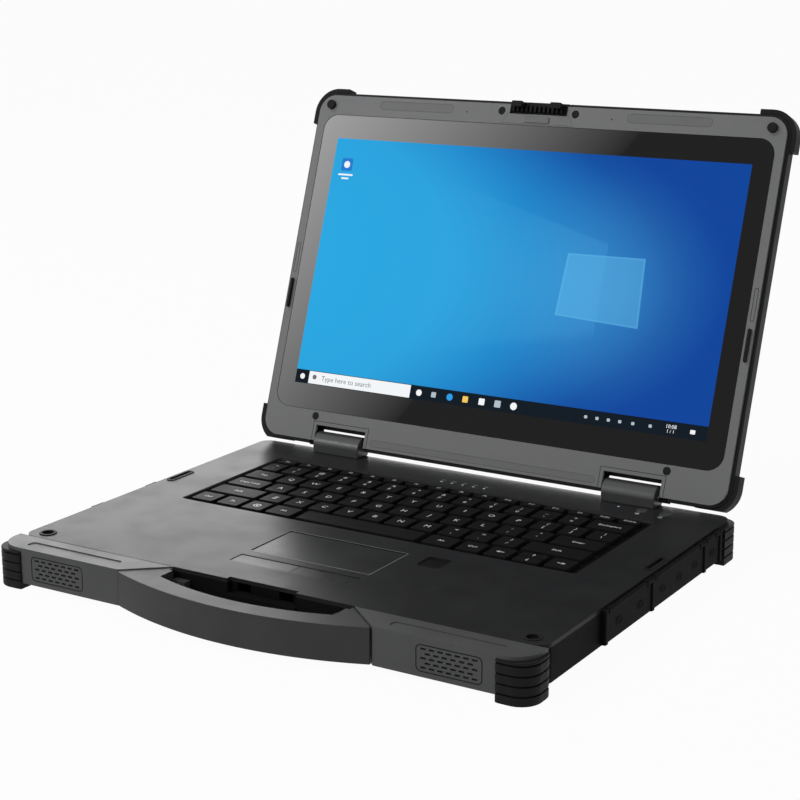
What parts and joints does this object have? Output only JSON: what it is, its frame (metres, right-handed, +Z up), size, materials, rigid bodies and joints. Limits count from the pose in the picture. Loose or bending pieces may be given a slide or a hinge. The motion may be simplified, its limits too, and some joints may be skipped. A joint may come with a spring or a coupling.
{
  "type": "rugged laptop computer",
  "caption": "Rugged clamshell laptop with hinged lid and screen, keyboard, touchpad, rubber corner bumpers, side port doors and a front carry handle.",
  "frame": {"origin": "on the table under the middle of the open laptop's bounding box", "axes": "+Z up, +Y from the front handle towards the hinges, +X to the right of someone typing"},
  "size_m": [0.3596, 0.3758, 0.2676],
  "materials": {
    "battery": "satin",
    "bezel": "satin",
    "board": "satin",
    "button": "satin",
    "case": "satin",
    "copper": "satin",
    "cover": "satin",
    "deck": "satin",
    "door": "matte",
    "drive": "satin",
    "glass": "gloss",
    "handle": "satin",
    "hinge": "satin",
    "key": "satin",
    "light": "gloss",
    "pad": "satin",
    "panel": "gloss",
    "rail": "satin",
    "rubber": "matte",
    "speaker": "matte",
    "steel": "brushed",
    "trim": "satin"
  },
  "bodies": {
    "base": {"bottom_case": "case", "top_deck": "deck", "service_cover": "case", "case_screws": "steel", "front_rail_left": "rail", "front_rail_right": "rail", "carry_handle": "handle", "handle_screws": "steel", "bumper_front_left": "rubber", "bumper_front_right": "rubber", "bumper_rear_left": "rubber", "bumper_rear_right": "rubber", "speaker_left": "speaker", "speaker_right": "speaker", "latch_keeper": "case", "deck_sockets": "rubber", "keyboard_frame": "key", "touchpad": "pad", "fingerprint_sensor": "pad", "indicator_lights": "light", "motherboard": "board", "port_sockets": "steel", "battery_pack": "battery", "solid_state_drive": "drive", "fan_housing": "case", "heat_sink": "copper", "door_pins": "steel", "hinge_blocks": "hinge", "hinge_pins": "steel"},
    "lid": {"lid_cover": "cover", "lid_bezel": "bezel", "cover_glass": "glass", "display_panel": "panel", "lid_bumpers": "rubber", "lid_pads": "rubber", "lid_screw_plugs": "rubber", "antenna_covers": "trim", "camera_module": "case", "hinge_leaves": "steel"},
    "shutter": {"camera_shutter": "case"},
    "latch": {"latch_slide": "rubber"},
    "fan": {"fan_impeller": "speaker"},
    "function_keys_body": {"function_keys": "key"},
    "number_keys_body": {"number_keys": "key"},
    "upper_letter_keys_body": {"upper_letter_keys": "key"},
    "home_letter_keys_body": {"home_letter_keys": "key"},
    "lower_letter_keys_body": {"lower_letter_keys": "key"},
    "modifier_keys_body": {"modifier_keys": "key"},
    "arrow_keys_body": {"arrow_keys": "key"},
    "space_bar_body": {"space_bar": "key"},
    "enter_key_body": {"enter_key": "key"},
    "touchpad_button_left_body": {"touchpad_button_left": "pad"},
    "touchpad_button_right_body": {"touchpad_button_right": "pad"},
    "power_button_body": {"power_button": "button"},
    "mode_button_body": {"mode_button": "button"},
    "port_door_front_body": {"port_door_front": "door"},
    "port_door_middle_body": {"port_door_middle": "door"},
    "port_door_rear_body": {"port_door_rear": "door"},
    "port_door_left_body": {"port_door_left": "door"}
  },
  "joints": [
    {"name": "lid_hinge", "type": "hinge", "parent": "base", "child": "lid", "pos_m": [0, 0.09748, 0.03095], "axis": [1, 0, 0], "range_deg": [-20, 109.5]},
    {"name": "latch_slide", "type": "slide", "parent": "lid", "child": "latch", "axis": [0, 0.3338, 0.9426], "range_m": [0, 0.002], "stiffness_N_per_m": 600, "springref_m": -0.001},
    {"name": "camera_shutter", "type": "slide", "parent": "lid", "child": "shutter", "axis": [1, 0, 0], "range_m": [0, 0.008]},
    {"name": "fan_spin", "type": "hinge", "parent": "base", "child": "fan", "pos_m": [-0.128, 0.02628, 0.0059], "axis": [0, 0, 1], "continuous": true},
    {"name": "function_keys_press", "type": "slide", "parent": "base", "child": "function_keys_body", "axis": [0, 0, -1], "range_m": [0, 0.0016], "stiffness_N_per_m": 400, "springref_m": -0.001},
    {"name": "number_keys_press", "type": "slide", "parent": "base", "child": "number_keys_body", "axis": [0, 0, -1], "range_m": [0, 0.0016], "stiffness_N_per_m": 400, "springref_m": -0.001},
    {"name": "upper_letter_keys_press", "type": "slide", "parent": "base", "child": "upper_letter_keys_body", "axis": [0, 0, -1], "range_m": [0, 0.0016], "stiffness_N_per_m": 400, "springref_m": -0.001},
    {"name": "home_letter_keys_press", "type": "slide", "parent": "base", "child": "home_letter_keys_body", "axis": [0, 0, -1], "range_m": [0, 0.0016], "stiffness_N_per_m": 400, "springref_m": -0.001},
    {"name": "lower_letter_keys_press", "type": "slide", "parent": "base", "child": "lower_letter_keys_body", "axis": [0, 0, -1], "range_m": [0, 0.0016], "stiffness_N_per_m": 400, "springref_m": -0.001},
    {"name": "modifier_keys_press", "type": "slide", "parent": "base", "child": "modifier_keys_body", "axis": [0, 0, -1], "range_m": [0, 0.0016], "stiffness_N_per_m": 400, "springref_m": -0.001},
    {"name": "arrow_keys_press", "type": "slide", "parent": "base", "child": "arrow_keys_body", "axis": [0, 0, -1], "range_m": [0, 0.0016], "stiffness_N_per_m": 400, "springref_m": -0.001},
    {"name": "space_bar_press", "type": "slide", "parent": "base", "child": "space_bar_body", "axis": [0, 0, -1], "range_m": [0, 0.0016], "stiffness_N_per_m": 400, "springref_m": -0.001},
    {"name": "enter_key_press", "type": "slide", "parent": "base", "child": "enter_key_body", "axis": [0, 0, -1], "range_m": [0, 0.0016], "stiffness_N_per_m": 400, "springref_m": -0.001},
    {"name": "touchpad_button_left_press", "type": "slide", "parent": "base", "child": "touchpad_button_left_body", "axis": [0, 0, -1], "range_m": [0, 0.0006], "stiffness_N_per_m": 1500, "springref_m": -0.0005},
    {"name": "touchpad_button_right_press", "type": "slide", "parent": "base", "child": "touchpad_button_right_body", "axis": [0, 0, -1], "range_m": [0, 0.0006], "stiffness_N_per_m": 1500, "springref_m": -0.0005},
    {"name": "power_button_press", "type": "slide", "parent": "base", "child": "power_button_body", "axis": [0, 0, -1], "range_m": [0, 0.0008], "stiffness_N_per_m": 1500, "springref_m": -0.0005},
    {"name": "mode_button_press", "type": "slide", "parent": "base", "child": "mode_button_body", "axis": [0, 0, -1], "range_m": [0, 0.0008], "stiffness_N_per_m": 1500, "springref_m": -0.0005},
    {"name": "port_door_front_hinge", "type": "hinge", "parent": "base", "child": "port_door_front_body", "pos_m": [0.1778, -0.05472, 0.0232], "axis": [0, -1, 0], "range_deg": [0, 110]},
    {"name": "port_door_middle_hinge", "type": "hinge", "parent": "base", "child": "port_door_middle_body", "pos_m": [0.1778, 0.01298, 0.0232], "axis": [0, -1, 0], "range_deg": [0, 110]},
    {"name": "port_door_rear_hinge", "type": "hinge", "parent": "base", "child": "port_door_rear_body", "pos_m": [0.1778, 0.06248, 0.0232], "axis": [0, -1, 0], "range_deg": [0, 110]},
    {"name": "port_door_left_hinge", "type": "hinge", "parent": "base", "child": "port_door_left_body", "pos_m": [-0.1778, -0.05472, 0.0232], "axis": [0, 1, 0], "range_deg": [0, 110]}
  ]
}
